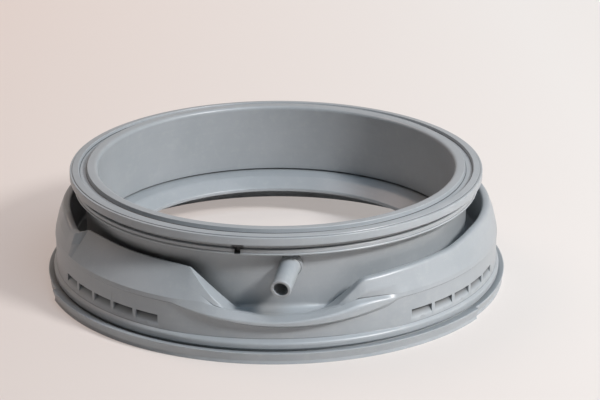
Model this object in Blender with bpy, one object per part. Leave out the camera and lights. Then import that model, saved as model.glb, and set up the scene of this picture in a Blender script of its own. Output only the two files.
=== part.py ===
import math

import bpy
import bmesh
from mathutils import Matrix, Vector

# All sizes are in millimetres and all angles in degrees.
# An azimuth is counted from the front, where the drain nozzle is, and grows towards the right.
MM = 0.001

# Cabinet flange at the top
TOP_HEIGHT = 102.6
MOUTH_RADIUS = 156.0
MOUTH_ROUND = 5.5
RING_RADIUS = 180.8
OUTER_LAND_DROP = 1.7
RIM_DROP = 0.7
RIM_WIDTH = 2.4
WIRE_GROOVE_RADIUS = 165.5
WIRE_GROOVE_WIDTH = 7.4
WIRE_GROOVE_DEPTH = 3.8
PANEL_SLOT_RADIUS = 171.0
PANEL_SLOT_TOP = 93.6
PANEL_SLOT_BOTTOM = 88.7
LIP_RADIUS = 177.2
LIP_UNDERSIDE = 83.3
LIP_BEAD = 1.0
LIP_BEAD_HEIGHT = 2.2
EDGE_ROUND = 0.8

# Notch in the lower lip of the flange, left of the front
NOTCH_AZIMUTH = -12.8
NOTCH_WIDTH = 3.8
NOTCH_DEPTH = 5.0
NOTCH_HEIGHT = 3.0

# Neck between the flange and the fold
NECK_TOP_RADIUS = 167.9
NECK_BOTTOM_RADIUS = 166.8
INNER_WALL_RADIUS = 162.3
INNER_WALL_END = 38.4
WALL = 3.0
VALLEY_HEIGHT = 34.0
VALLEY_ROUND = 3.0

# Sealing lip that closes on the door glass
GLASS_LIP_RADIUS = 138.9
GLASS_LIP_HEIGHT = 24.6
GLASS_LIP_THICKNESS = 3.6
GLASS_LIP_BULGE = 2.8
GLASS_LIP_TOP = 36.2
LIP_CREASE_RADIUS = 165.0

# Fold around the neck
PARTING_RADIUS = 195.2
PARTING_HEIGHT = 42.7
ROLL_HEIGHT = 70.0
ROLL_INNER_RADIUS = 181.0
ROLL_OUTER_RADIUS = 187.6
ROLL_ROUND = 4.0
SHOULDER_RADIUS = 191.6
SHOULDER_DROP = 10.5
DIP_START = -80.0
DIP_MIDDLE = -71.5
DIP_HEIGHT = 64.5

# Flat panel on the left of the fold
PANEL_HEIGHT = 68.6
PANEL_RADIUS = 174.8
PANEL_FLARE = 3.6
PANEL_MIDDLE = -45.75
PANEL_HALF = 20.25
PANEL_BLEND = 2.2
PANEL_START_HEIGHT = 65.5
PANEL_EDGE = 1.8
PANEL_SLOPE = 0.75

# Cutaway at the front, with a low ledge between two slanting ends
LEDGE_HEIGHT = 34.8
LEDGE_INNER_RADIUS = 180.0
LEDGE_FOOT_RADIUS = 172.0
LEDGE_FOOT_SPAN = 5.0
LEDGE_OUTER_RADIUS = 185.0
LEDGE_EDGE_RADIUS = 197.2
LEDGE_EDGE_HEIGHT = 30.4
LEDGE_EDGE_HALF = 28.5
LEDGE_EDGE_THICKNESS = 3.4
LEDGE_SHOULDER_RADIUS = 189.5
LEDGE_SHOULDER_HEIGHT = 35.8
LEDGE_VALLEY_ROUND = 9.0
PARTING_STEP = 0.4
SHOULDER_CREASE_HEIGHT = 46.4
LEFT_CREASE_HALF = 21.0
RIGHT_CREASE_HALF = 17.5
RIGHT_CREASE_POWER = 6
RIGHT_ROLL_START = 17.0
RIGHT_ROLL_END = 22.0
RIGHT_ROLL_THICKNESS = 7.0
LEFT_FOOT = -12.9
LEFT_FACE_RADIUS = 187.2
RIGHT_FOOT = 11.0
RIGHT_TOP = 19.7
RIGHT_CORNER_HEIGHT = 61.5
RIGHT_BEND = 30.0
RIGHT_BEND_HEIGHT = 64.4
RIGHT_CREST_HEIGHT = 65.6
RIGHT_CREST_START = 42.0
RIGHT_CREST_END = 49.0
RIGHT_BLEND_END = 62.0

# Wall and bead below the parting line
WALL_RADIUS = 194.8
RECESS_RADIUS = 192.6
WALL_FOOT_HEIGHT = 17.2
BEAD_RADIUS = 197.4
BEAD_TOP = 15.4
BEAD_BOTTOM = 10.6
BASE_GROOVE_RADIUS = 193.5
BASE_GROOVE_TOP = 8.8

# Base flange that grips the tub
BASE_HEIGHT = 10.5
BASE_TOP_SLOPE = 3.2
BASE_RADIUS = 202.6
BASE_FRONT_EXTRA = 3.0
BASE_CHANNEL = 1.6
BASE_FRONT_LEFT = -72.5
BASE_FRONT_RIGHT = 53.8
BASE_STEP = 0.3
BASE_INNER_RADIUS = 187.4
HOLLOW_RADIUS = 189.2
HOLLOW_WALL = 4.2
HOLLOW_GAP = 1.2

# Blind pockets in the wall
POCKET_COUNT = 5
POCKET_START = 32.4
POCKET_WIDTH = 6.5
POCKET_PITCH = 7.55
POCKET_TOP = 28.9
POCKET_BOTTOM = 21.2
POCKET_DEPTH = 4.2
POCKET_FOOT_RISE = 0.3

# Drain nozzle
NOZZLE_ROOT = (4.0, -167.9, 71.0)
NOZZLE_MOUTH = (-5.1, -199.0, 63.5)
NOZZLE_RADIUS = 8.5
NOZZLE_BORE_RADIUS = 5.4
NOZZLE_EMBED = 4.0
NOZZLE_REACH = 19.6
NOZZLE_STEPS = 32

# Finish
RUBBER_COLOUR = (0.29, 0.32, 0.34, 1.0)
RUBBER_ROUGHNESS = 0.55

# Limits that keep a rounding inside the two sides it joins and a slope from running to infinity
SHARPEST_TURN = 0.05
ARC_SHARE = 0.45
LEAST_DROP = 1.0

# Spacing of the sections around the ring
REAR_SPACING = 6.0
FRONT_SPACING = 4.0
FRONT_HALF = 72.0
SECTION_CLEARANCE = 1.3
POCKET_CLEARANCE = 0.5


def clear_scene():
    for item in list(bpy.data.objects):
        bpy.data.objects.remove(item, do_unlink=True)


def make_collection(name):
    collection = bpy.data.collections.new(name)
    bpy.context.scene.collection.children.link(collection)
    return collection


def moulded_rubber():
    material = bpy.data.materials.new("moulded_rubber")
    material.use_nodes = True
    shader = material.node_tree.nodes["Principled BSDF"]
    shader.inputs["Base Color"].default_value = RUBBER_COLOUR
    shader.inputs["Roughness"].default_value = RUBBER_ROUGHNESS
    shader.inputs["Metallic"].default_value = 0.0
    return material


def blend(start, end, share):
    return start + (end - start) * min(1.0, max(0.0, share))


def along(value, stations):
    # Straight lines between stations, each a pair of position and level.
    for (left, low), (right, high) in zip(stations, stations[1:]):
        if value <= right:
            return blend(low, high, (value - left) / (right - left))
    return stations[-1][1]


def left_diagonal(azimuth):
    panel_edge = PANEL_MIDDLE + PANEL_HALF
    return along(-azimuth, ((-LEFT_FOOT, 0.0), (-panel_edge, 1.0)))


def right_diagonal(azimuth):
    return along(azimuth, ((RIGHT_FOOT, 0.0), (RIGHT_TOP, 1.0)))


def crest_height(azimuth):
    panel_edge = PANEL_MIDDLE + PANEL_HALF
    panel_end = PANEL_MIDDLE - PANEL_HALF
    return along(azimuth, (
        (-180.0, ROLL_HEIGHT),
        (DIP_START, ROLL_HEIGHT),
        (DIP_MIDDLE, DIP_HEIGHT),
        (panel_end - PANEL_BLEND, PANEL_START_HEIGHT),
        (panel_end, PANEL_HEIGHT),
        (panel_edge, PANEL_HEIGHT),
        (LEFT_FOOT, LEDGE_HEIGHT),
        (RIGHT_FOOT, LEDGE_HEIGHT),
        (RIGHT_TOP, RIGHT_CORNER_HEIGHT),
        (RIGHT_BEND, RIGHT_BEND_HEIGHT),
        (RIGHT_CREST_START, RIGHT_CREST_HEIGHT),
        (RIGHT_CREST_END, RIGHT_CREST_HEIGHT),
        (RIGHT_BLEND_END, ROLL_HEIGHT),
        (180.0, ROLL_HEIGHT),
    ))


def panel_share(azimuth):
    # One on the flat panel, nought on the rolled fold.
    panel_edge = PANEL_MIDDLE + PANEL_HALF
    panel_end = PANEL_MIDDLE - PANEL_HALF
    return along(azimuth, (
        (panel_end - PANEL_BLEND, 0.0),
        (panel_end, 1.0),
        (panel_edge, 1.0),
        (LEFT_FOOT, 0.5),
        (RIGHT_FOOT, 0.5),
        (RIGHT_BEND, 0.0),
    ))


def panel_radius(azimuth):
    # The crest of the panel stands inside the fold and flares out at both ends.
    turn = min(1.0, abs(azimuth - PANEL_MIDDLE) / PANEL_HALF)
    return PANEL_RADIUS + PANEL_FLARE * turn ** 4


def crest_radii(azimuth):
    edge = panel_radius(azimuth)
    inner = edge - PANEL_EDGE
    panel_edge = PANEL_MIDDLE + PANEL_HALF
    panel_end = PANEL_MIDDLE - PANEL_HALF
    if azimuth <= panel_end:
        share = along(azimuth, ((panel_end - PANEL_BLEND, 0.0), (panel_end, 1.0)))
        return blend(ROLL_INNER_RADIUS, inner, share), blend(ROLL_OUTER_RADIUS, edge, share)
    if azimuth <= panel_edge:
        return inner, edge
    ledge_inner = along(azimuth, (
        (LEFT_FOOT, LEDGE_FOOT_RADIUS),
        (LEFT_FOOT + LEDGE_FOOT_SPAN, LEDGE_INNER_RADIUS),
        (RIGHT_FOOT - LEDGE_FOOT_SPAN, LEDGE_INNER_RADIUS),
        (RIGHT_FOOT, LEDGE_FOOT_RADIUS),
    ))
    if azimuth <= 0.0:
        # The slanting end cuts the panel's sloping face, so it widens on its way down.
        share = left_diagonal(azimuth)
        drop = (PANEL_HEIGHT - LEDGE_HEIGHT) * (1.0 - share)
        outer = min(LEFT_FACE_RADIUS, edge + drop * PANEL_SLOPE)
        outer = along(azimuth, ((LEFT_FOOT, outer), (LEFT_FOOT + LEDGE_FOOT_SPAN, LEDGE_OUTER_RADIUS)))
        return blend(ledge_inner, inner, share), outer
    share = right_diagonal(azimuth)
    return (
        blend(ledge_inner, ROLL_INNER_RADIUS, share),
        blend(LEDGE_OUTER_RADIUS, ROLL_OUTER_RADIUS, share),
    )


def ledge_share(azimuth, half, power=2):
    return min(1.0, abs(azimuth / half) ** power)


def edge_thickness(azimuth):
    return along(azimuth, (
        (-LEDGE_EDGE_HALF, PARTING_STEP),
        (0.0, LEDGE_EDGE_THICKNESS),
        (RIGHT_ROLL_START, RIGHT_ROLL_THICKNESS),
        (RIGHT_ROLL_END, RIGHT_ROLL_THICKNESS),
        (LEDGE_EDGE_HALF, PARTING_STEP),
    ))


def flange_corners():
    groove_end = WIRE_GROOVE_RADIUS + WIRE_GROOVE_WIDTH
    groove_floor = TOP_HEIGHT - WIRE_GROOVE_DEPTH
    rim_start = RING_RADIUS - RIM_WIDTH
    land = TOP_HEIGHT - OUTER_LAND_DROP
    rim_top = land - RIM_DROP
    lip_face = LIP_RADIUS - LIP_BEAD
    bead_top = LIP_UNDERSIDE + LIP_BEAD_HEIGHT
    return [
        (MOUTH_RADIUS, TOP_HEIGHT, MOUTH_ROUND, 3),
        (WIRE_GROOVE_RADIUS, TOP_HEIGHT, EDGE_ROUND, 1),
        (WIRE_GROOVE_RADIUS + EDGE_ROUND, groove_floor, 0.0, 0),
        (groove_end - EDGE_ROUND, groove_floor, 0.0, 0),
        (groove_end, land + RIM_DROP, EDGE_ROUND, 1),
        (rim_start, land, 0.0, 0),
        (rim_start + EDGE_ROUND / 2.0, rim_top, 0.0, 0),
        (RING_RADIUS, rim_top, EDGE_ROUND, 1),
        (RING_RADIUS, PANEL_SLOT_TOP, 0.0, 0),
        (PANEL_SLOT_RADIUS, PANEL_SLOT_TOP, 0.0, 0),
        (PANEL_SLOT_RADIUS, PANEL_SLOT_BOTTOM, 0.0, 0),
        (lip_face, PANEL_SLOT_BOTTOM - EDGE_ROUND / 2.0, EDGE_ROUND, 1),
        (lip_face, bead_top, 0.0, 0),
        (LIP_RADIUS, bead_top - LIP_BEAD, LIP_BEAD, 1),
        (LIP_RADIUS - EDGE_ROUND, LIP_UNDERSIDE, 0.0, 0),
        (NECK_TOP_RADIUS, LIP_UNDERSIDE - EDGE_ROUND / 2.0, VALLEY_ROUND, 1),
    ]


def fold_corners(azimuth):
    inner, outer = crest_radii(azimuth)
    height = crest_height(azimuth)
    panel = panel_share(azimuth)
    edge_share = ledge_share(azimuth, LEDGE_EDGE_HALF)
    right = azimuth > 0.0
    crease_share = ledge_share(azimuth, RIGHT_CREASE_HALF if right else LEFT_CREASE_HALF)
    depth_share = ledge_share(azimuth, LEDGE_EDGE_HALF, RIGHT_CREASE_POWER) if right else edge_share
    crease_radius = blend(LEDGE_SHOULDER_RADIUS, PARTING_RADIUS - EDGE_ROUND / 2.0, depth_share)
    crease_height = blend(LEDGE_SHOULDER_HEIGHT, SHOULDER_CREASE_HEIGHT, crease_share)
    outer_height = max(height, crease_height)
    edge_radius = blend(LEDGE_EDGE_RADIUS, PARTING_RADIUS, edge_share)
    parting = blend(LEDGE_EDGE_HEIGHT, PARTING_HEIGHT, edge_share)
    recess = blend(RECESS_RADIUS, WALL_RADIUS, edge_share)
    thickness = edge_thickness(azimuth)
    undercut = min(thickness, LEDGE_EDGE_THICKNESS)
    valley_round = blend(LEDGE_VALLEY_ROUND, VALLEY_ROUND, crease_share)
    middle_radius = blend(SHOULDER_RADIUS, (outer + crease_radius) / 2.0, panel)
    middle_height = blend(height - SHOULDER_DROP, (height + crease_height) / 2.0, panel)
    if outer_height == crease_height:
        middle_radius = (outer + crease_radius) / 2.0
        middle_height = crease_height
    middle_height = max(crease_height, middle_height)
    crest_round = blend(ROLL_ROUND, EDGE_ROUND / 2.0, panel)
    corners = [
        (NECK_BOTTOM_RADIUS, VALLEY_HEIGHT, valley_round, 2),
        (inner - EDGE_ROUND, VALLEY_HEIGHT, VALLEY_ROUND, 1),
        (inner, height, crest_round, 2),
        (outer, outer_height, crest_round, 2),
        (middle_radius, middle_height, 0.0, 0),
        (crease_radius, crease_height, 0.0, 0),
        (edge_radius, parting + thickness, max(thickness, LEDGE_EDGE_THICKNESS), 2),
        (edge_radius, parting, 0.0, 0),
        (recess, parting - undercut, 0.0, 0),
        (recess, WALL_FOOT_HEIGHT, 0.0, 0),
    ]
    slope = (crease_radius - outer) / max(LEAST_DROP, outer_height - crease_height)
    room = inner + WALL + HOLLOW_GAP + HOLLOW_WALL - outer
    hollow_top = min(height - HOLLOW_WALL, outer_height - room / slope)
    floor = VALLEY_HEIGHT - HOLLOW_WALL + EDGE_ROUND
    hollow_top = max(floor + EDGE_ROUND / 2.0, hollow_top)
    face = outer + slope * (outer_height - hollow_top)
    hollow_outer = max(inner + WALL + HOLLOW_GAP, min(HOLLOW_RADIUS, face - HOLLOW_WALL))
    shoulder = min(hollow_top, crease_height - HOLLOW_WALL - EDGE_ROUND)
    hollow = [
        (HOLLOW_RADIUS, min(shoulder, parting - HOLLOW_WALL), 0.0, 0),
        (hollow_outer, hollow_top, 0.0, 0),
        (inner + WALL, hollow_top, 0.0, 0),
        (inner + WALL, floor, 0.0, 0),
    ]
    return corners, hollow


def base_corners(azimuth):
    wide = along(azimuth, (
        (BASE_FRONT_LEFT - BASE_STEP, 0.0),
        (BASE_FRONT_LEFT, 1.0),
        (BASE_FRONT_RIGHT, 1.0),
        (BASE_FRONT_RIGHT + BASE_STEP, 0.0),
    ))
    radius = BASE_RADIUS + BASE_FRONT_EXTRA * wide
    return [
        (BEAD_RADIUS, BEAD_TOP, ROLL_ROUND, 2),
        (BEAD_RADIUS, BEAD_BOTTOM, 0.0, 0),
        (BASE_GROOVE_RADIUS, BASE_GROOVE_TOP, 0.0, 0),
        (BASE_GROOVE_RADIUS, BASE_HEIGHT - BASE_TOP_SLOPE, 0.0, 0),
        (radius, BASE_HEIGHT, EDGE_ROUND, 1),
        (radius - BASE_CHANNEL, BASE_HEIGHT / 2.0, 0.0, 0),
        (radius, 0.0, 0.0, 0),
        (BASE_INNER_RADIUS, 0.0, 0.0, 0),
    ]


def lip_corners():
    floor = VALLEY_HEIGHT - HOLLOW_WALL + EDGE_ROUND
    middle = (GLASS_LIP_RADIUS + INNER_WALL_RADIUS) / 2.0
    slope_top = GLASS_LIP_HEIGHT + GLASS_LIP_THICKNESS / 2.0
    middle_top = (GLASS_LIP_TOP + slope_top) / 2.0 + GLASS_LIP_BULGE
    return [
        (LIP_CREASE_RADIUS, floor, 0.0, 0),
        (middle + GLASS_LIP_THICKNESS, middle_top - GLASS_LIP_THICKNESS, 0.0, 0),
        (GLASS_LIP_RADIUS, GLASS_LIP_HEIGHT - GLASS_LIP_THICKNESS / 2.0, EDGE_ROUND, 1),
        (GLASS_LIP_RADIUS, slope_top, EDGE_ROUND, 1),
        (middle, middle_top, ROLL_ROUND, 1),
        (INNER_WALL_RADIUS - EDGE_ROUND * 2.0, GLASS_LIP_TOP, 0.0, 0),
        (LIP_CREASE_RADIUS, (GLASS_LIP_TOP + INNER_WALL_END) / 2.0, 0.0, 0),
        (INNER_WALL_RADIUS, INNER_WALL_END, 0.0, 0),
    ]


def rounded(corners):
    # Each corner is radius, height, rounding and the number of steps in its arc.
    outline = []
    count = len(corners)
    for index, (radius, height, rounding, steps) in enumerate(corners):
        corner = Vector((radius, height))
        if steps == 0:
            outline.append(corner)
            continue
        before = Vector(corners[index - 1][:2]) - corner
        after = Vector(corners[(index + 1) % count][:2]) - corner
        angle = before.angle(after, math.pi)
        reach = rounding / max(SHARPEST_TURN, math.tan(angle / 2.0))
        reach = min(reach, before.length * ARC_SHARE, after.length * ARC_SHARE)
        start = corner + before.normalized() * reach
        end = corner + after.normalized() * reach
        for step in range(steps + 1):
            share = step / steps
            outline.append(
                start * (1.0 - share) ** 2 + corner * 2.0 * share * (1.0 - share) + end * share ** 2
            )
    return outline


def ring_section(azimuth):
    fold, hollow = fold_corners(azimuth)
    corners = flange_corners() + fold + base_corners(azimuth) + hollow + lip_corners()
    return rounded(corners)


def pocket_ends():
    ends = []
    for index in range(POCKET_COUNT):
        first = POCKET_START + index * POCKET_PITCH
        ends.append((first, first + POCKET_WIDTH))
    return ends


def clear_of(value, places, distance):
    return min(abs(value - place) for place in places) > distance


def section_azimuths():
    steps = {0.0}
    position = 0.0
    while position < 180.0:
        position += FRONT_SPACING if position < FRONT_HALF else REAR_SPACING
        steps.update((position, -position) if position < 180.0 else (180.0,))
    fixed = [
        BASE_FRONT_LEFT - BASE_STEP,
        BASE_FRONT_LEFT,
        BASE_FRONT_RIGHT,
        BASE_FRONT_RIGHT + BASE_STEP,
        DIP_START,
        DIP_MIDDLE,
        PANEL_MIDDLE - PANEL_HALF - PANEL_BLEND,
        PANEL_MIDDLE - PANEL_HALF,
        PANEL_MIDDLE + PANEL_HALF,
        LEFT_FOOT,
        RIGHT_FOOT,
        RIGHT_TOP,
        RIGHT_BEND,
    ]
    ends = [end for pocket in pocket_ends() for end in pocket]
    kept = [
        step for step in steps
        if clear_of(step, fixed, SECTION_CLEARANCE) and clear_of(abs(step), ends, POCKET_CLEARANCE)
    ]
    return sorted(kept + fixed)


def spot(azimuth, radius, height):
    turn = math.radians(azimuth)
    return Vector((radius * math.sin(turn), -radius * math.cos(turn), height)) * MM


def add_object(name, mesh, collection):
    item = bpy.data.objects.new(name, mesh)
    collection.objects.link(item)
    return item


def moulded_ring(collection):
    # The main form is a loft between sections that change around the ring.
    mesh = bpy.data.meshes.new("door_seal")
    build = bmesh.new()
    loops = []
    for azimuth in section_azimuths():
        outline = ring_section(azimuth)
        loops.append([build.verts.new(spot(azimuth, point.x, point.y)) for point in outline])
    for first, second in zip(loops, loops[1:] + loops[:1]):
        for index in range(len(first)):
            following = (index + 1) % len(first)
            build.faces.new((first[index], second[index], second[following], first[following]))
    bmesh.ops.triangulate(build, faces=build.faces)
    bmesh.ops.recalc_face_normals(build, faces=build.faces)
    build.to_mesh(mesh)
    build.free()
    return add_object("door_seal", mesh, collection)


def add_tube(name, radius, start, end, collection):
    mesh = bpy.data.meshes.new(name)
    build = bmesh.new()
    axis = (end - start).normalized()
    turn = axis.to_track_quat("Z", "Y").to_matrix().to_4x4()
    place = Matrix.Translation((start + end) / 2.0 * MM) @ turn
    bmesh.ops.create_cone(
        build,
        cap_ends=True,
        segments=NOZZLE_STEPS,
        radius1=radius * MM,
        radius2=radius * MM,
        depth=(end - start).length * MM,
        matrix=place,
    )
    build.to_mesh(mesh)
    build.free()
    return add_object(name, mesh, collection)


def add_wedges(name, wedges, collection):
    # A wedge is its span in azimuth, its two heights and the radius of its floor at each height.
    mesh = bpy.data.meshes.new(name)
    build = bmesh.new()
    for left, right, low, high, floor_low, floor_high, outside in wedges:
        cube = bmesh.ops.create_cube(build, size=2.0)
        for vert in cube["verts"]:
            azimuth = right if vert.co.x > 0.0 else left
            height = high if vert.co.z > 0.0 else low
            floor = floor_high if vert.co.z > 0.0 else floor_low
            radius = outside if vert.co.y > 0.0 else floor
            vert.co = spot(azimuth, radius, height)
    bmesh.ops.recalc_face_normals(build, faces=build.faces)
    build.to_mesh(mesh)
    build.free()
    return add_object(name, mesh, collection)


def pocket_wedges():
    outside = BEAD_RADIUS + ROLL_ROUND
    wedges = []
    for side in (-1, 1):
        for pocket in pocket_ends():
            first, last = sorted(side * end for end in pocket)
            wedges.append((
                first, last, POCKET_BOTTOM, POCKET_TOP,
                WALL_RADIUS + POCKET_FOOT_RISE, WALL_RADIUS - POCKET_DEPTH, outside,
            ))
    return wedges


def notch_wedges():
    half = math.degrees(NOTCH_WIDTH / 2.0 / LIP_RADIUS)
    floor = LIP_RADIUS - NOTCH_DEPTH
    return [(
        NOTCH_AZIMUTH - half, NOTCH_AZIMUTH + half,
        PANEL_SLOT_BOTTOM - NOTCH_HEIGHT, PANEL_SLOT_BOTTOM + EDGE_ROUND,
        floor, floor, LIP_RADIUS + ROLL_ROUND,
    )]


def combine(body, tool, operation):
    modifier = body.modifiers.new(tool.name, "BOOLEAN")
    modifier.operation = operation
    modifier.solver = "EXACT"
    modifier.object = tool
    tool.hide_render = True
    tool.display_type = "WIRE"


def main():
    clear_scene()
    parts = make_collection("washing_machine_door_seal")
    tools = make_collection("cutters")
    body = moulded_ring(parts)
    body.data.materials.append(moulded_rubber())
    root = Vector(NOZZLE_ROOT)
    mouth = Vector(NOZZLE_MOUTH)
    axis = (mouth - root).normalized()
    tube = add_tube("nozzle_tube", NOZZLE_RADIUS, root - axis * NOZZLE_EMBED, mouth, tools)
    bore_start = root - axis * NOZZLE_REACH
    bore = add_tube("nozzle_bore", NOZZLE_BORE_RADIUS, bore_start, mouth + axis * NOZZLE_EMBED, tools)
    pockets = add_wedges("pockets", pocket_wedges(), tools)
    notch = add_wedges("notch", notch_wedges(), tools)
    combine(body, tube, "UNION")
    combine(body, bore, "DIFFERENCE")
    combine(body, pockets, "DIFFERENCE")
    combine(body, notch, "DIFFERENCE")
    for face in body.data.polygons:
        face.use_smooth = True


main()
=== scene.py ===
import math
import bpy
import bmesh
from mathutils import Matrix, Vector


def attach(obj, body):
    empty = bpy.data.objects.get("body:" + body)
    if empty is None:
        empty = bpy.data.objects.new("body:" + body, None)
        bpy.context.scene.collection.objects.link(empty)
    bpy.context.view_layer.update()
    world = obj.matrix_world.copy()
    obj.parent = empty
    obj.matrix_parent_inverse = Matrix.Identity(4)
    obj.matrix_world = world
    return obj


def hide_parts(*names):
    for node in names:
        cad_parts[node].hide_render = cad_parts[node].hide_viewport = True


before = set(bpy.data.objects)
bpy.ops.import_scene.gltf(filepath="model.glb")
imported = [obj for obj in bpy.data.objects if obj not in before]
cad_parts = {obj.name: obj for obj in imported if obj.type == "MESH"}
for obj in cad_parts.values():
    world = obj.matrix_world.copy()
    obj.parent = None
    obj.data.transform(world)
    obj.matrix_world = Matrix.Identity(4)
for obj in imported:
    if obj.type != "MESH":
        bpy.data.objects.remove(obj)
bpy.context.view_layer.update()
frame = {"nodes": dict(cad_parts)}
scene = bpy.context.scene
mm = 0.001
print("frame loaded:", ", ".join(frame["nodes"]))


# small helpers
def linear(hexCode):
    # an sRGB hex value turned to the linear colour that a shader wants
    shades = [int(hexCode[i:i + 2], 16) / 255 for i in (0, 2, 4)]
    return [s / 12.92 if s <= 0.04045 else ((s + 0.055) / 1.055) ** 2.4 for s in shades] + [1.0]


def addNode(tree, kind, settings):
    # a setting is a property of the node, the value of an input or the output that feeds it
    node = tree.nodes.new(kind)
    for name, value in settings.items():
        if isinstance(value, bpy.types.NodeSocket):
            tree.links.new(value, node.inputs[name])
        elif isinstance(name, str) and hasattr(node, name):
            setattr(node, name, value)
        else:
            node.inputs[name].default_value = value
    return node


def newMaterial(name):
    material = bpy.data.materials.new(name)
    material.use_nodes = True
    tree = material.node_tree
    tree.nodes.clear()
    return material, tree


def newObject(name, mesh):
    item = bpy.data.objects.new(name, mesh)
    scene.collection.objects.link(item)
    return item


def solidObject(name, build):
    # a closed body with its faces turned outward
    bmesh.ops.recalc_face_normals(build, faces=build.faces)
    mesh = bpy.data.meshes.new(name)
    build.to_mesh(mesh)
    build.free()
    return newObject(name, mesh)


def seenRays(tree):
    # one where the camera, a reflection or a clear material looks at the background
    path = addNode(tree, "ShaderNodeLightPath", {}).outputs
    first = addNode(tree, "ShaderNodeMath", {
        "operation": "MAXIMUM", 0: path["Is Camera Ray"], 1: path["Is Glossy Ray"]})
    both = addNode(tree, "ShaderNodeMath", {
        "operation": "MAXIMUM", 0: first.outputs[0], 1: path["Is Transmission Ray"]})
    return both.outputs[0]


def placeAround(item, target, distance, azimuth, elevation):
    # stands a camera or a lamp off from its target and turns it to face there
    turn = math.radians(azimuth)
    rise = math.radians(elevation)
    flat = math.cos(rise)
    aim = Vector((math.sin(turn) * flat, -math.cos(turn) * flat, math.sin(rise)))
    item.location = Vector(target) + aim * distance
    item.rotation_euler = aim.to_track_quat("Z", "Y").to_euler()


def clamp(value, low=0.0, high=1.0):
    return max(low, min(high, value))


def mix(first, second, share):
    return first + (second - first) * clamp(share)


# camera: worked out from the photograph's ellipses, a long lens from 1.9 m away
view = {
    "target": (0.02087, -0.00109, 0.0659), "distance": 1.913, "clipEnd": 50.0,     # m
    "azimuth": -3.0,       # degrees, the seal is turned a little against the camera
    "elevation": 20.38,
    "lens": 129.78, "sensor": 36.0,     # mm
}


def addCamera():
    data = bpy.data.cameras.new("photoCamera")
    data.lens = view["lens"]
    data.sensor_width = view["sensor"]
    data.clip_end = view["clipEnd"]
    camera = newObject("photoCamera", data)
    placeAround(camera, view["target"], view["distance"], view["azimuth"], view["elevation"])
    scene.camera = camera


addCamera()
print("camera placed")


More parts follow.
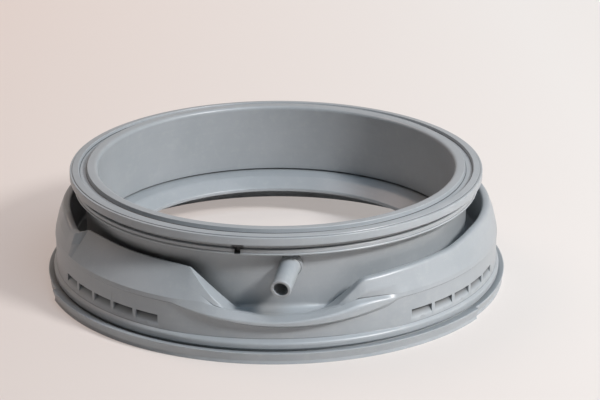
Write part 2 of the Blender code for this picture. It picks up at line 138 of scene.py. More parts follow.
# the seal: sizes in mm, azimuths in degrees from the front, growing to the right
seal = {
    # cabinet flange
    "topHeight": 102.6, "mouthRadius": 156.0, "mouthRound": 5.5, "ringRadius": 180.8,
    "outerLandDrop": 1.7, "rimDrop": 0.7, "rimWidth": 2.4,
    "wireGrooveRadius": 165.5, "wireGrooveWidth": 7.4, "wireGrooveDepth": 3.8,
    "panelSlotRadius": 174.0, "panelSlotTop": 93.6, "panelSlotBottom": 88.7,
    "lipRadius": 177.2, "lipUnderside": 83.3, "lipBead": 1.0, "lipBeadHeight": 2.2,
    # roundings shared by the whole section
    "edgeRound": 0.8, "crispRound": 0.35,
    # notch in the flange lip
    "notchAzimuth": -12.7, "notchWidth": 5.0, "notchDepth": 6.0, "notchHeight": 4.4,
    # neck and valley
    "neckTopRadius": 167.9, "neckBottomRadius": 166.8, "innerWallRadius": 162.3,
    "innerWallEnd": 38.4, "wall": 3.0, "valleyHeight": 34.0, "valleyRound": 3.0,
    # sealing lip
    "glassLipRadius": 138.9, "glassLipHeight": 24.6, "glassLipThickness": 3.6,
    "glassLipBulge": 3.8, "glassLipTop": 36.0, "glassLipTopRound": 10.0,
    "glassLipUnderRound": 8.0, "lipCreaseRadius": 165.6,
    # fold
    "partingRadius": 195.2, "partingHeight": 42.7, "rollHeight": 70.0, "rollInnerRadius": 181.0,
    "rollOuterRadius": 187.6, "rollRound": 4.0, "shoulderRadius": 191.6, "shoulderDrop": 10.5,
    "shoulderRound": 9.0, "dipStart": -80.0, "dipMiddle": -71.5, "dipHeight": 64.5,
    # flat panel on the left
    "panelHeight": 68.6, "panelRadius": 174.8, "panelFlare": 3.6, "panelFlarePower": 4,
    "panelMiddle": -45.75, "panelHalf": 20.25, "panelBlend": 2.2, "panelStartHeight": 65.5,
    "panelEdge": 1.8,
    # cutaway with the ledge
    "ledgeHeight": 34.8, "ledgeInnerRadius": 180.0, "ledgeFootRadius": 172.0,
    "ledgeFootSpan": 5.0, "ledgeOuterRadius": 185.0, "ledgeFlatness": 0.5,
    "ledgeEdgeRadius": 197.2, "ledgeEdgeHeight": 30.4, "ledgeEdgeHalf": 28.5,
    "ledgeEdgeThickness": 3.4, "ledgeShoulderRadius": 189.5, "ledgeShoulderHeight": 35.8,
    "ledgeValleyRound": 9.0, "partingStep": 0.4, "partingClearance": 2.6,
    "shoulderCreaseHeight": 46.4, "creaseRound": 1.05, "leftCreaseHalf": 21.0,
    "rightCreaseHalf": 17.5, "leftCreasePower": 2, "rightCreasePower": 6,
    "rightRollStart": 17.0, "rightRollEnd": 22.0, "rightRollThickness": 7.0,
    "leftFoot": -12.9, "rightFoot": 11.0, "rightTop": 19.7, "rightCornerHeight": 61.5,
    "rightBend": 30.0, "rightBendHeight": 64.4, "rightCrestHeight": 65.6,
    "rightCrestStart": 42.0, "rightCrestEnd": 49.0, "rightBlendEnd": 62.0,
    "leftSoftness": 0.4, "rightSoftness": 1.6,
    # wall, bead and base flange
    "wallRadius": 194.8, "recessRadius": 191.8, "wallFootHeight": 17.2, "beadRadius": 197.4,
    "beadTop": 15.4, "beadBottom": 10.6, "baseGrooveRadius": 194.6, "baseGrooveTop": 8.8,
    "baseHeight": 10.5, "baseTopSlope": 3.2, "baseRadius": 202.6, "baseFrontExtra": 3.0,
    "baseChannel": 2.2, "baseChannelHeight": 2.8, "baseFootInset": 1.6,
    "baseFrontLeft": -72.5, "baseFrontRight": 53.8, "baseStep": 0.3, "baseInnerRadius": 187.4,
    # hollow inside the fold
    "hollowRadius": 189.2, "hollowWall": 4.2, "hollowGap": 1.2, "leastDrop": 1.0,
    # blind pockets in the wall
    "pocketCount": 5, "pocketStart": 32.4, "pocketWidth": 6.5, "pocketPitch": 7.55,
    "pocketTop": 28.9, "pocketBottom": 21.2, "pocketDepth": 5.0, "pocketFootRise": 0.3,
    # how finely the ring is divided, in degrees
    "spacing": 1.0, "firstStep": -179.8, "clearance": 0.12,
    # the most of a side that one rounding takes, the sharpest corner that is rounded in full, as
    # the tangent of half its angle, and the angle in degrees at which the shading breaks
    "sideShare": 0.45, "leastTangent": 0.05, "sharpAngle": 38.0,
}


def along(value, stations, softness=0.0):
    # straight lines between stations, rounded off over a width of softness
    if softness:
        shifts = (-0.5, -0.25, 0.0, 0.25, 0.5)
        return sum(along(value + shift * softness, stations) for shift in shifts) / len(shifts)
    for (left, low), (right, high) in zip(stations, stations[1:]):
        if value <= right:
            return mix(low, high, (value - left) / (right - left))
    return stations[-1][1]


def softnessAt(azimuth):
    return seal["leftSoftness"] if azimuth < 0.0 else seal["rightSoftness"]


def panelSpan():
    return seal["panelMiddle"] - seal["panelHalf"], seal["panelMiddle"] + seal["panelHalf"]


def crestHeight(azimuth):
    s = seal
    panelStart, panelEnd = panelSpan()
    return along(azimuth, (
        (-180.0, s["rollHeight"]), (s["dipStart"], s["rollHeight"]),
        (s["dipMiddle"], s["dipHeight"]),
        (panelStart - s["panelBlend"], s["panelStartHeight"]),
        (panelStart, s["panelHeight"]), (panelEnd, s["panelHeight"]),
        (s["leftFoot"], s["ledgeHeight"]), (s["rightFoot"], s["ledgeHeight"]),
        (s["rightTop"], s["rightCornerHeight"]), (s["rightBend"], s["rightBendHeight"]),
        (s["rightCrestStart"], s["rightCrestHeight"]), (s["rightCrestEnd"], s["rightCrestHeight"]),
        (s["rightBlendEnd"], s["rollHeight"]), (180.0, s["rollHeight"]),
    ), softnessAt(azimuth))


def panelShare(azimuth):
    # one on the flat panel, nought on the rolled fold, and between them on the ledge
    s = seal
    panelStart, panelEnd = panelSpan()
    return along(azimuth, (
        (panelStart - s["panelBlend"], 0.0), (panelStart, 1.0), (panelEnd, 1.0),
        (s["leftFoot"], s["ledgeFlatness"]), (s["rightFoot"], s["ledgeFlatness"]),
        (s["rightBend"], 0.0),
    ), softnessAt(azimuth))


def ledgeShare(azimuth, half, power=2):
    return min(1.0, abs(azimuth / half) ** power)


def creaseSpot(azimuth):
    # radius and height of the crease below the panel or the shoulder
    s = seal
    right = azimuth > 0.0
    rise = ledgeShare(azimuth, s["rightCreaseHalf"] if right else s["leftCreaseHalf"])
    power = s["rightCreasePower"] if right else s["leftCreasePower"]
    depth = ledgeShare(azimuth, s["ledgeEdgeHalf"], power)
    return (
        mix(s["ledgeShoulderRadius"], s["partingRadius"] - s["edgeRound"] / 2.0, depth),
        mix(s["ledgeShoulderHeight"], s["shoulderCreaseHeight"], rise),
    )


def crestRadii(azimuth):
    s = seal
    # the panel's crest stands inside the fold and flares out at both ends
    turn = clamp(abs(azimuth - s["panelMiddle"]) / s["panelHalf"])
    edge = s["panelRadius"] + s["panelFlare"] * turn ** s["panelFlarePower"]
    inner = edge - s["panelEdge"]
    panelStart, panelEnd = panelSpan()
    if azimuth <= panelStart:
        share = along(azimuth, ((panelStart - s["panelBlend"], 0.0), (panelStart, 1.0)))
        return mix(s["rollInnerRadius"], inner, share), mix(s["rollOuterRadius"], edge, share)
    if azimuth <= panelEnd:
        return inner, edge
    span = s["ledgeFootSpan"]
    ledgeInner = along(azimuth, (
        (s["leftFoot"], s["ledgeFootRadius"]), (s["leftFoot"] + span, s["ledgeInnerRadius"]),
        (s["rightFoot"] - span, s["ledgeInnerRadius"]), (s["rightFoot"], s["ledgeFootRadius"]),
    ), span / 2.0)
    if azimuth <= 0.0:
        # the slanting end cuts the panel's sloping face, so it widens on its way down
        share = along(-azimuth, ((-s["leftFoot"], 0.0), (-panelEnd, 1.0)))
        drop = (s["panelHeight"] - s["ledgeHeight"]) * (1.0 - share)
        creaseRadius, creaseHeight = creaseSpot(azimuth)
        fall = (creaseRadius - edge) / (s["panelHeight"] - creaseHeight)
        outer = min(creaseRadius - s["partingClearance"], edge + drop * fall)
        outer = along(azimuth, (
            (s["leftFoot"], outer), (s["leftFoot"] + span, s["ledgeOuterRadius"])))
        return mix(ledgeInner, inner, share), outer
    share = along(azimuth, ((s["rightFoot"], 0.0), (s["rightTop"], 1.0)), s["rightSoftness"])
    return (
        mix(ledgeInner, s["rollInnerRadius"], share),
        mix(s["ledgeOuterRadius"], s["rollOuterRadius"], share),
    )


def edgeThickness(azimuth):
    s = seal
    return along(azimuth, (
        (-s["ledgeEdgeHalf"], s["partingStep"]), (0.0, s["ledgeEdgeThickness"]),
        (s["rightRollStart"], s["rightRollThickness"]),
        (s["rightRollEnd"], s["rightRollThickness"]),
        (s["ledgeEdgeHalf"], s["partingStep"]),
    ), s["rightSoftness"] * 2.0)


def flangeCorners():
    # every corner is radius, height, rounding and the number of steps in its arc
    s = seal
    edge = s["edgeRound"]
    crisp = s["crispRound"]
    grooveEnd = s["wireGrooveRadius"] + s["wireGrooveWidth"]
    grooveFloor = s["topHeight"] - s["wireGrooveDepth"]
    rimStart = s["ringRadius"] - s["rimWidth"]
    land = s["topHeight"] - s["outerLandDrop"]
    rimTop = land - s["rimDrop"]
    slot = s["panelSlotRadius"]
    lipFace = s["lipRadius"] - s["lipBead"]
    beadTop = s["lipUnderside"] + s["lipBeadHeight"]
    return [
        (s["mouthRadius"], s["topHeight"], s["mouthRound"], 8),
        (s["wireGrooveRadius"], s["topHeight"], edge, 4),
        (s["wireGrooveRadius"] + edge, grooveFloor, edge, 3),
        (grooveEnd - edge, grooveFloor, edge, 3),
        (grooveEnd, land + s["rimDrop"], edge, 4),
        (rimStart, land, crisp, 2),
        (rimStart + edge / 2.0, rimTop, crisp, 2),
        (s["ringRadius"], rimTop, edge, 4),
        (s["ringRadius"], s["panelSlotTop"], crisp, 2),
        (slot, s["panelSlotTop"], crisp, 2),
        (slot, s["panelSlotBottom"], crisp, 2),
        (lipFace, s["panelSlotBottom"] - edge / 2.0, edge, 4),
        (lipFace, beadTop, crisp, 2),
        (s["lipRadius"], beadTop - s["lipBead"], s["lipBead"], 4),
        (s["lipRadius"] - edge, s["lipUnderside"], edge, 3),
        (s["neckTopRadius"], s["lipUnderside"] - edge / 2.0, s["valleyRound"], 5),
    ]


def foldCorners(azimuth):
    s = seal
    edge = s["edgeRound"]
    crisp = s["crispRound"]
    inner, outer = crestRadii(azimuth)
    height = crestHeight(azimuth)
    panel = panelShare(azimuth)
    edgeShare = ledgeShare(azimuth, s["ledgeEdgeHalf"])
    creaseHalf = s["rightCreaseHalf"] if azimuth > 0.0 else s["leftCreaseHalf"]
    valleyRound = mix(s["ledgeValleyRound"], s["valleyRound"], ledgeShare(azimuth, creaseHalf))
    creaseRadius, creaseHeight = creaseSpot(azimuth)
    outerHeight = max(height, creaseHeight)
    edgeRadius = mix(s["ledgeEdgeRadius"], s["partingRadius"], edgeShare)
    parting = mix(s["ledgeEdgeHeight"], s["partingHeight"], edgeShare)
    recess = mix(s["recessRadius"], s["wallRadius"], edgeShare)
    middleRadius = mix(s["shoulderRadius"], (outer + creaseRadius) / 2.0, panel)
    middleHeight = mix(height - s["shoulderDrop"], (height + creaseHeight) / 2.0, panel)
    if outerHeight == creaseHeight:
        middleRadius = (outer + creaseRadius) / 2.0
        middleHeight = creaseHeight
    middleHeight = max(creaseHeight, middleHeight)
    crestRound = mix(s["rollRound"], crisp, panel)
    shoulderRound = mix(s["shoulderRound"], crisp, panel)
    thick = edgeThickness(azimuth)
    undercut = min(thick, s["ledgeEdgeThickness"])
    corners = [
        (s["neckBottomRadius"], s["valleyHeight"], valleyRound, 6),
        (inner - edge, s["valleyHeight"], s["valleyRound"], 5),
        (inner, height, crestRound, 7),
        (outer, outerHeight, crestRound, 7),
        (middleRadius, middleHeight, shoulderRound, 6),
        (creaseRadius, creaseHeight, s["creaseRound"], 3),
        (edgeRadius, parting + thick, max(thick, s["ledgeEdgeThickness"]), 6),
        (edgeRadius, parting, crisp / 2.0, 1),
        (recess, parting - undercut, crisp, 2),
        (recess, s["wallFootHeight"], edge, 2),
    ]
    # the hollow inside the fold keeps its wall below the sloping face and the crest
    slope = (creaseRadius - outer) / max(s["leastDrop"], outerHeight - creaseHeight)
    room = inner + s["wall"] + s["hollowGap"] + s["hollowWall"] - outer
    hollowTop = min(height - s["hollowWall"], outerHeight - room / slope)
    floor = s["valleyHeight"] - s["hollowWall"] + edge
    hollowTop = max(floor + edge / 2.0, hollowTop)
    face = outer + slope * (outerHeight - hollowTop)
    hollowOuter = min(s["hollowRadius"], face - s["hollowWall"])
    hollowOuter = max(inner + s["wall"] + s["hollowGap"], hollowOuter)
    shoulder = min(hollowTop, creaseHeight - s["hollowWall"] - edge)
    hollow = [
        (s["hollowRadius"], min(shoulder, parting - s["hollowWall"]), edge, 2),
        (hollowOuter, hollowTop, crisp, 1),
        (inner + s["wall"], hollowTop, crisp, 1),
        (inner + s["wall"], floor, edge, 2),
    ]
    return corners, hollow


def baseCorners(azimuth):
    s = seal
    wide = along(azimuth, (
        (s["baseFrontLeft"] - s["baseStep"], 0.0), (s["baseFrontLeft"], 1.0),
        (s["baseFrontRight"], 1.0), (s["baseFrontRight"] + s["baseStep"], 0.0),
    ))
    radius = s["baseRadius"] + s["baseFrontExtra"] * wide
    edge = s["edgeRound"]
    return [
        (s["beadRadius"], s["beadTop"], s["rollRound"], 6),
        (s["beadRadius"], s["beadBottom"], edge, 3),
        (s["baseGrooveRadius"], s["baseGrooveTop"], edge, 2),
        (s["baseGrooveRadius"], s["baseHeight"] - s["baseTopSlope"], edge, 2),
        (radius, s["baseHeight"], edge, 4),
        (radius - s["baseChannel"], s["baseChannelHeight"], edge, 3),
        (radius - s["baseFootInset"], 0.0, s["crispRound"], 2),
        (s["baseInnerRadius"], 0.0, s["crispRound"], 2),
    ]


def lipCorners():
    s = seal
    edge = s["edgeRound"]
    thick = s["glassLipThickness"]
    floor = s["valleyHeight"] - s["hollowWall"] + edge
    middle = (s["glassLipRadius"] + s["innerWallRadius"]) / 2.0
    slopeTop = s["glassLipHeight"] + thick / 2.0
    middleTop = (s["glassLipTop"] + slopeTop) / 2.0 + s["glassLipBulge"]
    return [
        (s["lipCreaseRadius"], floor, edge, 2),
        (middle + thick, middleTop - thick, s["glassLipUnderRound"], 4),
        (s["glassLipRadius"], s["glassLipHeight"] - thick / 2.0, thick / 2.0, 4),
        (s["glassLipRadius"], slopeTop, thick / 2.0, 4),
        (middle, middleTop, s["glassLipTopRound"], 8),
        (s["innerWallRadius"] - edge * 2.0, s["glassLipTop"], edge, 2),
        (s["lipCreaseRadius"], (s["glassLipTop"] + s["innerWallEnd"]) / 2.0, s["crispRound"], 1),
        (s["innerWallRadius"], s["innerWallEnd"], edge, 3),
    ]


def rounded(corners):
    side = seal["sideShare"]
    outline = []
    for index, (radius, height, rounding, steps) in enumerate(corners):
        corner = Vector((radius, height))
        before = Vector(corners[index - 1][:2]) - corner
        after = Vector(corners[(index + 1) % len(corners)][:2]) - corner
        angle = before.angle(after, math.pi)
        reach = rounding / max(seal["leastTangent"], math.tan(angle / 2.0))
        reach = min(reach, before.length * side, after.length * side)
        start = corner + before.normalized() * reach
        end = corner + after.normalized() * reach
        for step in range(steps + 1):
            t = step / steps
            outline.append(
                start * (1.0 - t) ** 2 + corner * 2.0 * t * (1.0 - t) + end * t ** 2)
    return outline


def ringSection(azimuth):
    fold, hollow = foldCorners(azimuth)
    return rounded(flangeCorners() + fold + baseCorners(azimuth) + hollow + lipCorners())


def sectionAzimuths():
    s = seal
    panelStart, panelEnd = panelSpan()
    fixed = [
        s["baseFrontLeft"] - s["baseStep"], s["baseFrontLeft"],
        s["baseFrontRight"], s["baseFrontRight"] + s["baseStep"],
    ]
    for crease in (panelStart - s["panelBlend"], panelStart, panelEnd, s["leftFoot"]):
        fixed += [crease - s["leftSoftness"], crease, crease + s["leftSoftness"]]
    count = int(360.0 / s["spacing"])
    steps = [s["firstStep"] + index * s["spacing"] for index in range(count)]
    kept = [step for step in steps if min(abs(step - place) for place in fixed) > s["clearance"]]
    return sorted(kept + fixed)


def spot(azimuth, radius, height):
    turn = math.radians(azimuth)
    return Vector((radius * math.sin(turn), -radius * math.cos(turn), height)) * mm


def moulding(name):
    build = bmesh.new()
    loops = []
    for azimuth in sectionAzimuths():
        loops.append([build.verts.new(spot(azimuth, p.x, p.y)) for p in ringSection(azimuth)])
    for first, second in zip(loops, loops[1:] + loops[:1]):
        for index in range(len(first)):
            after = (index + 1) % len(first)
            build.faces.new((first[index], second[index], second[after], first[after]))
    return solidObject(name, build)


# cutters for the pockets and the notch
def wedges(name, spans):
    # a wedge is its two azimuths, two heights, the floor's radius at each height, and its outside
    build = bmesh.new()
    for left, right, low, high, floorLow, floorHigh, outside in spans:
        cube = bmesh.ops.create_cube(build, size=2.0)
        for vert in cube["verts"]:
            azimuth = right if vert.co.x > 0.0 else left
            height = high if vert.co.z > 0.0 else low
            floor = floorHigh if vert.co.z > 0.0 else floorLow
            vert.co = spot(azimuth, outside if vert.co.y > 0.0 else floor, height)
    return solidObject(name, build)


def pocketSpans():
    s = seal
    outside = s["beadRadius"] + s["rollRound"]
    spans = []
    for side in (-1, 1):
        for index in range(s["pocketCount"]):
            first = s["pocketStart"] + index * s["pocketPitch"]
            left, right = sorted((side * first, side * (first + s["pocketWidth"])))
            spans.append((
                left, right, s["pocketBottom"], s["pocketTop"],
                s["wallRadius"] + s["pocketFootRise"], s["wallRadius"] - s["pocketDepth"], outside,
            ))
    return spans


def notchSpans():
    s = seal
    half = math.degrees(s["notchWidth"] / 2.0 / s["lipRadius"])
    floor = s["lipRadius"] - s["notchDepth"]
    return [(
        s["notchAzimuth"] - half, s["notchAzimuth"] + half,
        s["panelSlotBottom"] - s["notchHeight"], s["panelSlotBottom"] + s["edgeRound"],
        floor, floor, s["lipRadius"] + s["rollRound"],
    )]


# the drain nozzle: a tube with a flared root and a rounded mouth, in mm; it starts "embed" inside
# the neck, and its bore starts "reach" inside, so that it opens into the mouth of the seal
nozzle = {
    "root": (4.0, -167.9, 71.0), "mouth": (-5.1, -199.0, 63.5),
    "radius": 8.5, "bore": 5.9, "embed": 4.0, "reach": 19.6,
    "flare": 1.4, "flareLength": 4.0, "edge": 1.0, "steps": 48,
}


def turned(name, profile, start, axis):
    # spins a profile of (distance along the axis, radius) into a closed solid
    build = bmesh.new()
    place = Matrix.Translation(start * mm) @ axis.to_track_quat("Z", "Y").to_matrix().to_4x4()
    rings = []
    for distance, radius in profile:
        ring = []
        for step in range(nozzle["steps"]):
            turn = 2.0 * math.pi * step / nozzle["steps"]
            point = Vector((radius * math.cos(turn), radius * math.sin(turn), distance)) * mm
            ring.append(build.verts.new(place @ point))
        rings.append(ring)
    for low, high in zip(rings, rings[1:]):
        for index in range(len(low)):
            after = (index + 1) % len(low)
            build.faces.new((low[index], low[after], high[after], high[index]))
    build.faces.new(rings[0][::-1])
    build.faces.new(rings[-1])
    return solidObject(name, build)


def quarter(distance, radius, sizeAlong, sizeOut, steps=5):
    # a quarter curve that starts along the axis and ends square to it
    points = []
    for step in range(steps + 1):
        turn = math.pi / 2.0 * step / steps
        points.append((
            distance + sizeAlong * math.sin(turn), radius + sizeOut * (1.0 - math.cos(turn))))
    return points


def nozzleTools():
    n = nozzle
    root = Vector(n["root"])
    mouth = Vector(n["mouth"])
    axis = (mouth - root).normalized()
    length = (mouth - root).length
    flare = reversed(quarter(0.0, n["radius"], -n["flareLength"], n["flare"]))
    outer = [(-n["embed"], n["radius"] + n["flare"])]
    outer += [(distance + n["flareLength"], radius) for distance, radius in flare]
    outer += quarter(length - n["edge"], n["radius"], n["edge"], -n["edge"])
    tube = turned("nozzleTube", outer, root, axis)
    inner = [(-n["reach"], n["bore"])]
    inner += quarter(length - n["edge"] / 2.0, n["bore"], n["edge"] / 2.0, n["edge"] / 2.0)
    inner += [(length + n["embed"], n["bore"] + n["edge"] / 2.0)]
    bore = turned("nozzleBore", inner, root, axis)
    return tube, bore


def combine(body, tool, operation):
    modifier = body.modifiers.new(tool.name, "BOOLEAN")
    modifier.operation = operation
    modifier.solver = "MANIFOLD"
    modifier.object = tool


def settle(body):
    # bakes the modifiers into the mesh
    shown = body.evaluated_get(bpy.context.evaluated_depsgraph_get())
    mesh = bpy.data.meshes.new_from_object(shown)
    body.modifiers.clear()
    body.data = mesh


# wear and painted shade: where edges are painted paler, partly as wear and partly as painted
# highlight, and where creases and recesses are painted darker as painted shade
wearAndShade = {
    "wearAndHighlightStart": 0.06, "wearAndHighlightSpan": 0.5, "paintedShadeStart": 0.18, "paintedShadeSpan": 0.4,   # bend per mm
    "margin": 1.0,         # mm, and degrees around the ring
    "pocketFade": 2.5, "pocketBack": 0.3, "notchFade": 3.0,     # mm
    "notchHalf": 1.5,      # degrees
    "leastArea": 1e-9,     # square metres
}


def recessShade(point):
    # one deep in a pocket or in the notch, where the rubber is painted darker as painted shade
    s = seal
    margin = wearAndShade["margin"]
    radius = math.hypot(point.x, point.y)
    azimuth = math.degrees(math.atan2(point.x, -point.y))
    pocketLevel = s["pocketBottom"] - margin < point.z < s["pocketTop"] + margin
    if pocketLevel and abs(azimuth) > s["pocketStart"] - margin:
        outside = radius > s["hollowRadius"] + wearAndShade["pocketBack"]
        return clamp((s["wallRadius"] - radius) / wearAndShade["pocketFade"]) if outside else 0.0
    notchLevel = abs(point.z - s["panelSlotBottom"]) < s["notchHeight"] + margin
    if notchLevel and abs(azimuth - s["notchAzimuth"]) < wearAndShade["notchHalf"]:
        outside = radius > s["neckTopRadius"] + margin
        return clamp((s["lipRadius"] - radius) / wearAndShade["notchFade"]) if outside else 0.0
    return 0.0


def markEdges(body):
    # stores how convex or hollow the rubber is at each point: convex edges are painted paler, partly
    # as wear and partly as painted highlight, and hollow creases are painted darker as painted shade
    w = wearAndShade
    build = bmesh.new()
    build.from_mesh(body.data)
    bend = [0.0] * len(build.verts)
    area = [0.0] * len(build.verts)
    for face in build.faces:
        share = face.calc_area() / len(face.verts)
        for vert in face.verts:
            area[vert.index] += share
    # mean curvature: a quarter of length times angle at both ends, over the area around the point
    for edge in build.edges:
        if len(edge.link_faces) == 2:
            amount = edge.calc_face_angle_signed(0.0) * edge.calc_length() / 4.0
            for vert in edge.verts:
                bend[vert.index] += amount
    build.free()
    wearAndHighlight = body.data.attributes.new("edgeWearAndHighlight", "FLOAT", "POINT")
    paintedShade = body.data.attributes.new("creasePaintedShade", "FLOAT", "POINT")
    for index, (turn, size) in enumerate(zip(bend, area)):
        curve = turn / max(size, w["leastArea"]) * mm        # per mm
        place = body.data.vertices[index].co / mm
        aboveFoot = clamp((place.z - seal["beadTop"]) / seal["rollRound"])    # the foot gets no painted shade
        # painted shade in hollow creases, above the foot
        crease = clamp((-curve - w["paintedShadeStart"]) / w["paintedShadeSpan"]) * aboveFoot
        wearAndHighlight.data[index].value = clamp((curve - w["wearAndHighlightStart"]) / w["wearAndHighlightSpan"])
        paintedShade.data[index].value = max(crease, recessShade(place))


def buildSeal():
    body = moulding("sealMoulding")
    tube, bore = nozzleTools()
    pockets = wedges("pockets", pocketSpans())
    notch = wedges("notch", notchSpans())
    combine(body, tube, "UNION")
    combine(body, bore, "DIFFERENCE")
    combine(body, pockets, "DIFFERENCE")
    combine(body, notch, "DIFFERENCE")
    settle(body)
    for tool in (tube, bore, pockets, notch):
        bpy.data.objects.remove(tool, do_unlink=True)
    markEdges(body)
    body.data.shade_smooth()
    body.data.set_sharp_from_angle(angle=math.radians(seal["sharpAngle"]))
    weighted = body.modifiers.new("evenNormals", "WEIGHTED_NORMAL")
    weighted.keep_sharp = True
    settle(body)
    return body


sealMoulding = buildSeal()
print("seal built:", len(sealMoulding.data.polygons), "faces")


# moulded EPDM rubber: compression moulded in a blasted tool, so it is a soft satin blue grey with a
# fine skin, a chalky bloom in patches, faint flow marks around the ring, edges painted paler and free
# of bloom, partly as rubbing wear and partly as painted highlight, and creases, pockets and the notch
# darkened as painted shade
rubber = {
    # the last grey here colours edges painted paler, partly as wear and partly as painted highlight
    "darkGrey": "8C9296", "lightGrey": "93989C", "bloomGrey": "9FA3A4", "wearAndHighlightGrey": "999FA3",
    # the dark grey here and its gain are painted shade for creases, pockets and the notch
    "paintedShadeGrey": "43474A", "paintedShadeGain": 1.5, "wearAndHighlightShare": 0.35,
    "ior": 1.5, "roughness": 0.36, "bloomRoughness": 0.5, "wearAndHighlightRoughness": 0.36,
    # patterns: size in mm, detail and roughness
    "clouds": (46.0, 4.0, 0.55),    # slow change of shade from the mixing of the compound
    "bloom": (8.0, 5.0, 0.62),      # patches of bloom
    "skin": (1.3, 2.0, 0.5),        # the blasted skin is about 0.2 mm, drawn coarser to show
    "flowGap": 3.2,                 # mm between flow marks
    "flowLength": 70.0,             # mm, how far a flow mark runs
    "flowDetail": 3.0,
    "speckSize": 5.0,               # mm between specks of dust
    # the start and end of the span of each pattern that counts, and its share of colour at both
    "shades": {
        "clouds": (0.32, 0.68, 0.0, 1.0), "flow": (0.5, 0.75, 0.0, 0.1),
        "bloom": (0.52, 0.74, 0.0, 0.3), "specks": (0.05, 0.1, 0.45, 0.0),
    },
    "skinDepth": 0.035, "flowDepth": 0.015,     # mm
}


def flowMarks(tree, place):
    # noise that runs far around the ring and changes quickly across it
    r = rubber
    flat = addNode(tree, "ShaderNodeVectorMath", {
        "operation": "MULTIPLY", 0: place, 1: (1.0, 1.0, 0.0)}).outputs[0]
    reach = addNode(tree, "ShaderNodeVectorMath", {"operation": "LENGTH", 0: flat}).outputs["Value"]
    height = addNode(tree, "ShaderNodeSeparateXYZ", {0: place}).outputs["Z"]
    rise = addNode(tree, "ShaderNodeMath", {"operation": "ADD", 0: reach, 1: height}).outputs[0]
    across = addNode(tree, "ShaderNodeMath", {
        "operation": "MULTIPLY", 0: rise, 1: 1.0 / (r["flowGap"] * mm)}).outputs[0]
    run = addNode(tree, "ShaderNodeVectorMath", {
        "operation": "SCALE", 0: flat, "Scale": 1.0 / (r["flowLength"] * mm)}).outputs[0]
    runAxes = addNode(tree, "ShaderNodeSeparateXYZ", {0: run})
    flowPlace = addNode(tree, "ShaderNodeCombineXYZ", {
        0: runAxes.outputs["X"], 1: runAxes.outputs["Y"], 2: across}).outputs[0]
    return addNode(tree, "ShaderNodeTexNoise", {
        "Scale": 1.0, "Detail": r["flowDetail"], "Vector": flowPlace}).outputs["Fac"]


def rubberMaterial():
    r = rubber
    material, tree = newMaterial("mouldedEpdmRubber")
    place = addNode(tree, "ShaderNodeTexCoord", {}).outputs["Object"]
    patterns = {"flow": flowMarks(tree, place)}
    for name in ("clouds", "bloom", "skin"):
        size, detail, roughness = r[name]
        patterns[name] = addNode(tree, "ShaderNodeTexNoise", {
            "Scale": 1.0 / (size * mm), "Detail": detail, "Roughness": roughness,
            "Vector": place}).outputs["Fac"]
    specks = addNode(tree, "ShaderNodeTexVoronoi", {
        "Scale": 1.0 / (r["speckSize"] * mm), "Randomness": 1.0, "Vector": place})
    patterns["specks"] = specks.outputs["Distance"]
    shades = {}
    for name, (start, end, low, high) in r["shades"].items():
        shades[name] = addNode(tree, "ShaderNodeMapRange", {
            "From Min": start, "From Max": end, "To Min": low, "To Max": high,
            "Value": patterns[name]}).outputs[0]
    powder = addNode(tree, "ShaderNodeMath", {
        "operation": "ADD", "use_clamp": True, 0: shades["bloom"], 1: shades["specks"]}).outputs[0]
    # edges painted paler: partly rubbing wear, partly painted highlight
    wearAndHighlight = addNode(tree, "ShaderNodeAttribute", {"attribute_name": "edgeWearAndHighlight"})
    paleEdges = addNode(tree, "ShaderNodeMath", {
        "operation": "MULTIPLY", 0: wearAndHighlight.outputs["Fac"], 1: r["wearAndHighlightShare"]}).outputs[0]
    # painted shade: creases, pockets and the notch are darkened
    paintedShade = addNode(tree, "ShaderNodeAttribute", {"attribute_name": "creasePaintedShade"})
    shadeDarkening = addNode(tree, "ShaderNodeMath", {
        "operation": "MULTIPLY", "use_clamp": True,
        0: paintedShade.outputs["Fac"], 1: r["paintedShadeGain"]}).outputs[0]

    # the colour in layers: clouds, flow marks, bloom with dust, edges painted paler as wear and
    # painted highlight, and painted shade in creases and recesses
    layers = (
        (shades["clouds"], "lightGrey"), (shades["flow"], "bloomGrey"), (powder, "bloomGrey"),
        (paleEdges, "wearAndHighlightGrey"), (shadeDarkening, "paintedShadeGrey"),
    )
    colour = linear(r["darkGrey"])
    for share, grey in layers:
        colour = addNode(tree, "ShaderNodeMix", {
            "data_type": "RGBA", 0: share, 6: colour, 7: linear(r[grey])}).outputs[2]
    matt = addNode(tree, "ShaderNodeMapRange", {
        "To Min": r["roughness"], "To Max": r["bloomRoughness"], "Value": powder}).outputs[0]
    finish = addNode(tree, "ShaderNodeMix", {
        "data_type": "FLOAT", 0: paleEdges, 2: matt, 3: r["wearAndHighlightRoughness"]}).outputs[0]
    flowBump = addNode(tree, "ShaderNodeBump", {
        "Strength": 1.0, "Distance": r["flowDepth"] * mm, "Height": patterns["flow"]})
    skinBump = addNode(tree, "ShaderNodeBump", {
        "Strength": 1.0, "Distance": r["skinDepth"] * mm, "Height": patterns["skin"],
        "Normal": flowBump.outputs[0]})
    shader = addNode(tree, "ShaderNodeBsdfPrincipled", {
        "IOR": r["ior"], "Metallic": 0.0, "Base Color": colour, "Roughness": finish,
        "Normal": skinBump.outputs[0]})
    addNode(tree, "ShaderNodeOutputMaterial", {"Surface": shader.outputs[0]})
    return material


sealMoulding.data.materials.clear()
sealMoulding.data.materials.append(rubberMaterial())
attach(sealMoulding, "root")
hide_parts("door_seal")
print("rubber finished")


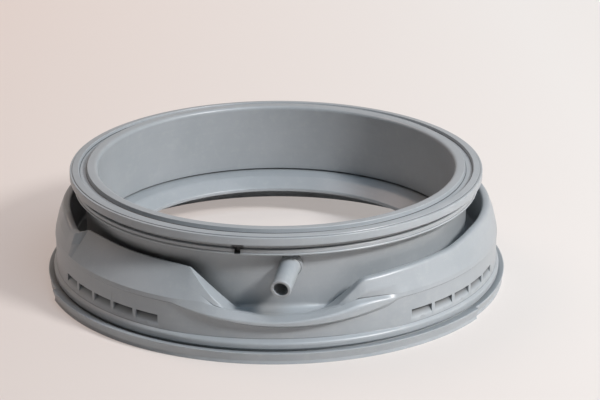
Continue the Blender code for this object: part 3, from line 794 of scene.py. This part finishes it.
# studio: a matt cream table top, a small key lamp at the front right, a wide cool lamp above it, a
# wide warm one behind on the left, and a wide weak one at the right
studio = {
    "tableColour": "F3ECE7", "tableRoughness": 0.7, "tableIor": 1.45,
    "tableSize": 9.0,      # m
    "grainSize": 9.0,      # mm
    "grainDetail": 2.0, "grainShade": 0.985,
    # the table as the camera, a reflection or a clear material sees it: paler and glowing a little,
    # so that its shadows stay light; the glow is painted light that grows to the right, toward the
    # key lamp, and away, within a span given in m, and is painted warmer and darker on the left as
    # painted shade
    "shadowColour": "A19D9A", "leftShadedGlow": "A69892", "rightLitGlow": "A9A8A7", "glowStrength": 0.71,
    "farGrowth": 0.44, "rightGrowth": 0.21, "seenHalf": 0.35, "seenNear": -0.3, "seenFar": 1.0,
    "roomColour": "F2E4DC", "roomLevel": 0.03, "backdropColour": "C9C3BE",
    # name, azimuth and elevation in degrees, distance and size in m, power in W, colour
    "lamps": [
        ("keyLamp", 52.0, 39.0, 2.6, 0.5, 70.0, "FFFBF9"),
        ("topLamp", 40.0, 58.0, 2.6, 1.3, 26.0, "D6ECFF"),
        ("backLamp", 232.0, 52.0, 2.6, 1.4, 19.0, "FFE4D6"),
        ("rightLamp", 90.0, 26.0, 2.6, 1.8, 11.0, "FFFAF0"),
    ],
}


def tableMaterial():
    s = studio
    material, tree = newMaterial("mattCreamLaminate")     # smooth, no gloss, takes soft shadows
    place = addNode(tree, "ShaderNodeTexCoord", {}).outputs["Object"]
    grain = addNode(tree, "ShaderNodeTexNoise", {
        "Scale": 1.0 / (s["grainSize"] * mm), "Detail": s["grainDetail"], "Vector": place})
    tone = linear(s["tableColour"])
    deep = [value * s["grainShade"] for value in tone[:3]] + [1.0]
    colour = addNode(tree, "ShaderNodeMix", {
        "data_type": "RGBA", 0: grain.outputs["Fac"], 6: deep, 7: tone})
    seen = seenRays(tree)
    shown = addNode(tree, "ShaderNodeMix", {
        "data_type": "RGBA", 0: seen, 6: colour.outputs[2], 7: linear(s["shadowColour"])})
    axes = addNode(tree, "ShaderNodeSeparateXYZ", {0: place})
    side = addNode(tree, "ShaderNodeMapRange", {
        "From Min": -s["seenHalf"], "From Max": s["seenHalf"], "Value": axes.outputs["X"]})
    depth = addNode(tree, "ShaderNodeMapRange", {
        "From Min": s["seenNear"], "From Max": s["seenFar"], "Value": axes.outputs["Y"]})
    far = addNode(tree, "ShaderNodeMath", {
        "operation": "MULTIPLY_ADD", 0: depth.outputs[0], 1: s["farGrowth"], 2: s["glowStrength"]})
    glow = addNode(tree, "ShaderNodeMath", {
        "operation": "MULTIPLY_ADD", 0: side.outputs[0], 1: s["rightGrowth"], 2: far.outputs[0]})
    level = addNode(tree, "ShaderNodeMath", {"operation": "MULTIPLY", 0: glow.outputs[0], 1: seen})
    # painted light and shade: the glow's tint runs from a warmer, darker left to a paler right
    tint = addNode(tree, "ShaderNodeMix", {
        "data_type": "RGBA", 0: side.outputs[0], 6: linear(s["leftShadedGlow"]), 7: linear(s["rightLitGlow"])})
    shader = addNode(tree, "ShaderNodeBsdfPrincipled", {
        "Roughness": s["tableRoughness"], "IOR": s["tableIor"], "Base Color": shown.outputs[2],
        "Emission Color": tint.outputs[2], "Emission Strength": level.outputs[0]})
    addNode(tree, "ShaderNodeOutputMaterial", {"Surface": shader.outputs[0]})
    return material


def buildTable():
    half = studio["tableSize"] / 2.0
    signs = ((-1, -1), (1, -1), (1, 1), (-1, 1))
    mesh = bpy.data.meshes.new("tableTop")
    build = bmesh.new()
    build.faces.new([build.verts.new((x * half, y * half, 0.0)) for x, y in signs])
    build.to_mesh(mesh)
    build.free()
    table = newObject("tableTop", mesh)
    table.data.materials.append(tableMaterial())


def addLamps():
    for name, azimuth, elevation, distance, size, power, colour in studio["lamps"]:
        data = bpy.data.lights.new(name, "AREA")
        data.shape = "DISK"
        data.size = size
        data.energy = power
        data.color = linear(colour)[:3]
        placeAround(newObject(name, data), (0.0, 0.0, 0.0), distance, azimuth, elevation)


def addRoom():
    world = bpy.data.worlds.new("paleRoom")
    scene.world = world
    world.use_nodes = True
    tree = world.node_tree
    tree.nodes.clear()
    light = addNode(tree, "ShaderNodeBackground", {
        "Color": linear(studio["roomColour"]), "Strength": studio["roomLevel"]})
    seen = addNode(tree, "ShaderNodeBackground", {
        "Color": linear(studio["backdropColour"]), "Strength": 1.0})
    both = addNode(tree, "ShaderNodeMixShader", {
        0: seenRays(tree), 1: light.outputs[0], 2: seen.outputs[0]})
    addNode(tree, "ShaderNodeOutputWorld", {"Surface": both.outputs[0]})


buildTable()
addLamps()
addRoom()
scene.view_settings.view_transform = "Standard"
print("studio lit")
